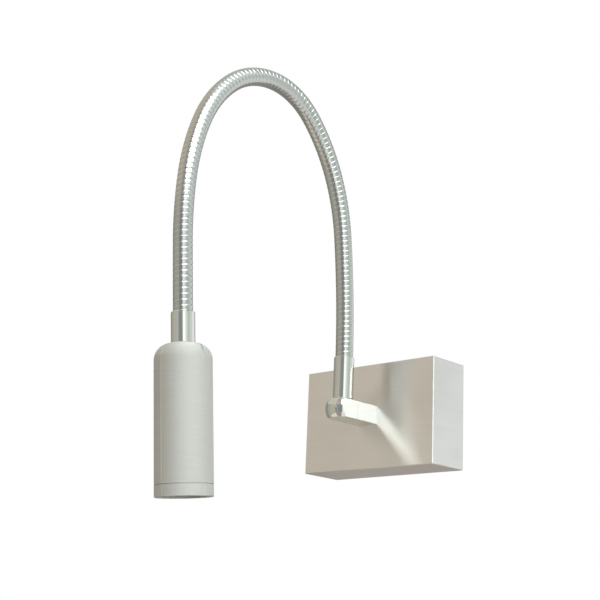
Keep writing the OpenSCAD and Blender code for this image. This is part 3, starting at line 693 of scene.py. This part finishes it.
class BRACKET_OT_arm(Operator):
    """Builds the flat-sided arm, swivel block and lower ferrule, and finishes the head ferrule"""

    bl_idname = "bracket_light.arm"
    bl_label = "Arm, swivel and ferrules"

    def execute(self, context):
        arm = context.scene.bracket_arm
        polished = metal(
            "polished_nickel", context.scene.bracket_metals.polished, roughness=0.09,
            lines=(120, 120, 2400), variation=0.03, depth=6e-7,
        )
        finish_nodes(polished, "head_ferrule")
        self.add_stub(arm, polished)
        self.add_block(arm, polished)
        self.add_ferrule(arm, polished)
        return {"FINISHED"}

    def outline(self, arm, y, inset=0.0, limit=None):
        width, height = arm.width - 2 * inset, arm.height - 2 * inset
        return bar_ring(y, arm.middle, width, height, arm.corner_r, limit)

    def hole(self, y, radius):
        return circle_ring(y, SWIVEL_Z, radius)

    def add_stub(self, arm, polished):
        """Stub on the cover and the friction washer in its end, in place of the round solids"""
        tail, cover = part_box("arm_stub")[1].y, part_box("box_cover")[0].y
        end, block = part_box("arm_stub")[0].y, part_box("swivel_washer")[0].y
        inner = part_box("swivel_block")[1].y + SPIGOT_ROOM
        # The stub's rim reaches over the washer and leaves a fine seam at the block
        rim = block + SEAM
        ring_shells("arm_flat_stub", "polished_nickel", polished, "wall_unit", "arm_stub", ([
            self.hole(tail, STUB_TAIL_R), self.hole(cover, STUB_TAIL_R),
            self.outline(arm, cover), self.outline(arm, rim),
            self.outline(arm, rim, RECESS), self.outline(arm, end, RECESS),
            self.hole(end, SPIGOT_R + PLAY), self.hole(inner, SPIGOT_R + PLAY),
            self.hole(inner, BORE_R), self.hole(tail, BORE_R),
        ], True))
        fibre = soft("pressed_fibre", (0.62, 0.61, 0.57), roughness=0.6)
        ring_shells("swivel_flat_washer", "fibre", fibre, "swivel", "swivel_washer", ([
            self.outline(arm, end, WASHER_INSET), self.outline(arm, block, WASHER_INSET),
            self.hole(block, SPIGOT_R + WASHER_PLAY), self.hole(end, SPIGOT_R + WASHER_PLAY),
        ], True))

    def add_block(self, arm, polished):
        """Swivel block with its spigot, its round end and the stud on top, and the plug under it"""
        block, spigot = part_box("swivel_washer")[0].y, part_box("swivel_block")[1].y
        top, under = arm.middle + arm.height / 2, arm.middle - arm.height / 2
        depths = [arm.end_r * math.sin(math.pi / 2 * i / END_STEPS) for i in range(END_STEPS)]
        body = [
            self.hole(NECK_Y, BORE_R), self.hole(spigot, BORE_R),
            self.hole(spigot, SPIGOT_R), self.hole(block, SPIGOT_R), self.outline(arm, block),
        ]
        for depth in depths:
            limit = math.sqrt(arm.end_r**2 - depth**2)
            body.append(self.outline(arm, NECK_Y - depth, limit=limit))
        stud_top = top + COLLAR_H + STUD_LEN
        stud = turned_rings(NECK_Y, [
            (BORE_R, top - COLLAR_SINK), (COLLAR_R, top - COLLAR_SINK),
            (COLLAR_R, top + COLLAR_H), (STUD_R, top + COLLAR_H),
            (STUD_R, stud_top), (BORE_R, stud_top),
        ])
        ring_shells(
            "swivel_flat_block", "polished_nickel", polished, "swivel", "swivel_block",
            (body, False), (stud, True),
        )
        plug = turned_rings(NECK_Y, [
            (PLUG_R - PLUG_BEVEL_W, under - PLUG_PROUD), (PLUG_R, under + PLUG_BEVEL_H),
            (PLUG_R, under + PLUG_H),
        ])
        ring_shells("swivel_plug", "satin_cap", polished, "swivel", "block_cap", (plug, False))

    def add_ferrule(self, arm, polished):
        """Lower ferrule, which reaches down to the collar on the flat top of the swivel block"""
        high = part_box("lower_ferrule")[1]
        bottom, top, radius = arm.middle + arm.height / 2 + COLLAR_H, high.z, high.x
        sleeve = turned_rings(NECK_Y, [
            (STUD_HOLE_R, bottom),
            (radius - FERRULE_BEVEL_LOW, bottom), (radius, bottom + FERRULE_BEVEL_LOW),
            (radius, top - FERRULE_BEVEL_HIGH), (radius - FERRULE_BEVEL_HIGH, top),
            (SEAT_R, top), (SEAT_R, top - SEAT_DEPTH), (BORE_R, top - SEAT_DEPTH),
            (BORE_R, bottom + STUD_HOLE_DEPTH), (STUD_HOLE_R, bottom + STUD_HOLE_DEPTH),
        ])
        ring_shells(
            "lower_ferrule_sleeve", "polished_nickel", polished, "swivel", "lower_ferrule",
            (sleeve, True),
        )


class BRACKET_OT_head(Operator):
    """Finishes the head, its front ring, the lamp and the front glass"""

    bl_idname = "bracket_light.head"
    bl_label = "Lamp head"

    def execute(self, context):
        metals = context.scene.bracket_metals
        turned = metal(
            "turned_head", metals.head, roughness=0.3, lines=(60, 60, 3000),
            spots=(20, 20, 40), stretch=0.6,
        )
        finish_nodes(turned, "head_shell", "front_ring")
        for name, colour, roughness, nodes in HEAD_FINISHES:
            finish_nodes(soft(name, colour, roughness), *nodes)
        coating = metal(
            "reflector_coating", (0.86, 0.88, 0.9), roughness=0.12, lines=(500, 500, 500),
            variation=0.05,
        )
        finish_nodes(coating, "lamp_reflector")
        finish_nodes(glass("frosted_capsule", (0.95, 0.95, 0.92), roughness=0.35), "lamp_capsule")
        finish_nodes(glass("front_glass", (0.95, 0.975, 0.97), roughness=0.0), "front_glass")
        return {"FINISHED"}


def camera_axes():
    """Directions to the right, upwards and ahead of the camera."""
    yaw, pitch, roll = (math.radians(a) for a in CAMERA_TURN)
    ahead = Vector(
        (math.sin(yaw) * math.cos(pitch), math.cos(yaw) * math.cos(pitch), math.sin(pitch))
    )
    right = Vector((math.cos(yaw), -math.sin(yaw), 0))
    up = right.cross(ahead)
    turned_right = math.cos(roll) * right + math.sin(roll) * up
    turned_up = -math.sin(roll) * right + math.cos(roll) * up
    return turned_right, turned_up, ahead


class BRACKET_OT_stage(Operator):
    """Sets up the floor, the cards, the lamp, the white surroundings and the camera"""

    bl_idname = "bracket_light.stage"
    bl_label = "Stage"

    def execute(self, context):
        scene = context.scene
        stage = scene.bracket_stage
        self.add_camera(scene, stage)
        self.add_floor(stage)
        for card in CARDS:
            self.add_card(stage, *card)
        self.add_lamp(scene)
        self.set_world(scene, stage)
        scene.view_settings.view_transform = "Standard"
        return {"FINISHED"}

    def add_camera(self, scene, stage):
        data = bpy.data.cameras.new("photo_camera")
        data.sensor_width = 36.0
        data.lens = stage.lens
        data.clip_start, data.clip_end = 0.05, 50.0
        camera = bpy.data.objects.new("photo_camera", data)
        right, up, ahead = camera_axes()
        turn = Matrix((right, up, -ahead)).transposed().to_4x4()
        camera.matrix_world = Matrix.Translation(CAMERA_AT) @ turn
        scene.collection.objects.link(camera)
        scene.camera = camera

    def add_floor(self, stage):
        half, z = stage.card_r, stage.floor_z
        corners = [(-half, -half, z), (half, -half, z), (half, half, z), (-half, half, z)]
        pale = soft("pale_floor", (0.8, 0.79, 0.79), roughness=0.85, scale=60)
        floor = add_object("floor", corners, [(0, 1, 2, 3)], pale)
        floor.visible_glossy = False

    def add_card(self, stage, name, start, end, low, high, colour, strength):
        """Upright arc that only reflections see."""
        ahead = camera_axes()[2]
        towards = math.degrees(math.atan2(-ahead.y, -ahead.x))
        steps = max(2, round((end - start) / CARD_STEP))
        points, faces = [], []
        for i in range(steps + 1):
            angle = math.radians(towards + start + (end - start) * i / steps)
            x, y = stage.card_r * math.cos(angle), stage.card_r * math.sin(angle)
            points += [(x, y, stage.card_r * math.tan(math.radians(edge))) for edge in (low, high)]
            if i:
                faces.append((2 * i - 2, 2 * i - 1, 2 * i + 1, 2 * i))
        shine = glow(f"card_{name}", colour, strength)
        card = add_object(f"card_{name}", points, faces, shine)
        card.visible_camera = card.visible_diffuse = card.visible_shadow = False
        card.visible_transmission = card.visible_volume_scatter = False

    def add_lamp(self, scene):
        data = bpy.data.lights.new("soft_lamp", "AREA")
        data.shape = "DISK"
        data.size = LAMP_WIDTH
        data.energy = LAMP_POWER
        lamp = bpy.data.objects.new("soft_lamp", data)
        lamp.location = LAMP_AT
        lamp.rotation_euler = (Vector(LAMP_AIM) - lamp.location).to_track_quat("-Z", "Y").to_euler()
        lamp.visible_glossy = False
        scene.collection.objects.link(lamp)

    def set_world(self, scene, stage):
        """White where the camera, a reflection or a glass sees it, and daylight for the rest."""
        world = bpy.data.worlds.new("white_room")
        world.use_nodes = True
        tree = world.node_tree
        tree.nodes.clear()
        output = tree.nodes.new("ShaderNodeOutputWorld")
        mix = tree.nodes.new("ShaderNodeMixShader")
        for strength, target in ((stage.daylight, mix.inputs[1]), (1.0, mix.inputs[2])):
            background = tree.nodes.new("ShaderNodeBackground")
            background.inputs["Color"].default_value = (1, 1, 1, 1)
            background.inputs["Strength"].default_value = strength
            tree.links.new(background.outputs[0], target)
        path = tree.nodes.new("ShaderNodeLightPath")
        two_kinds, all_kinds = (tree.nodes.new("ShaderNodeMath") for _ in range(2))
        for node in (two_kinds, all_kinds):
            node.operation = "ADD"
            node.use_clamp = True
        tree.links.new(path.outputs["Is Camera Ray"], two_kinds.inputs[0])
        tree.links.new(path.outputs["Is Glossy Ray"], two_kinds.inputs[1])
        tree.links.new(two_kinds.outputs[0], all_kinds.inputs[0])
        tree.links.new(path.outputs["Is Transmission Ray"], all_kinds.inputs[1])
        tree.links.new(all_kinds.outputs[0], mix.inputs[0])
        tree.links.new(mix.outputs[0], output.inputs["Surface"])
        scene.world = world


OPERATORS = (
    BRACKET_OT_gooseneck, BRACKET_OT_box, BRACKET_OT_inner_parts, BRACKET_OT_arm, BRACKET_OT_head,
    BRACKET_OT_stage,
)
SETTINGS = (
    ("bracket_neck", NeckSettings), ("bracket_arm", ArmSettings), ("bracket_metals", MetalSettings),
    ("bracket_stage", StageSettings),
)


class BRACKET_PT_panel(Panel):
    """Lists the light's pieces and their settings"""

    bl_label = "Bracket light"
    bl_idname = "BRACKET_PT_panel"
    bl_space_type = "VIEW_3D"
    bl_region_type = "UI"
    bl_category = "Bracket light"

    def draw(self, context):
        for operator in OPERATORS:
            self.layout.operator(operator.bl_idname)
        for name, group in SETTINGS:
            box = self.layout.box()
            for key in group.__annotations__:
                box.prop(getattr(context.scene, name), key)


CLASSES = tuple(group for _, group in SETTINGS) + OPERATORS + (BRACKET_PT_panel,)


def register():
    for cls in CLASSES:
        bpy.utils.register_class(cls)
    for name, group in SETTINGS:
        setattr(bpy.types.Scene, name, PointerProperty(type=group))


def unregister():
    for name, _ in SETTINGS:
        delattr(bpy.types.Scene, name)
    for cls in reversed(CLASSES):
        bpy.utils.unregister_class(cls)


def main():
    register()
    bpy.ops.bracket_light.gooseneck()
    bpy.ops.bracket_light.box()
    bpy.ops.bracket_light.inner_parts()
    bpy.ops.bracket_light.arm()
    bpy.ops.bracket_light.head()
    bpy.ops.bracket_light.stage()


if __name__ == "__main__":
    main()
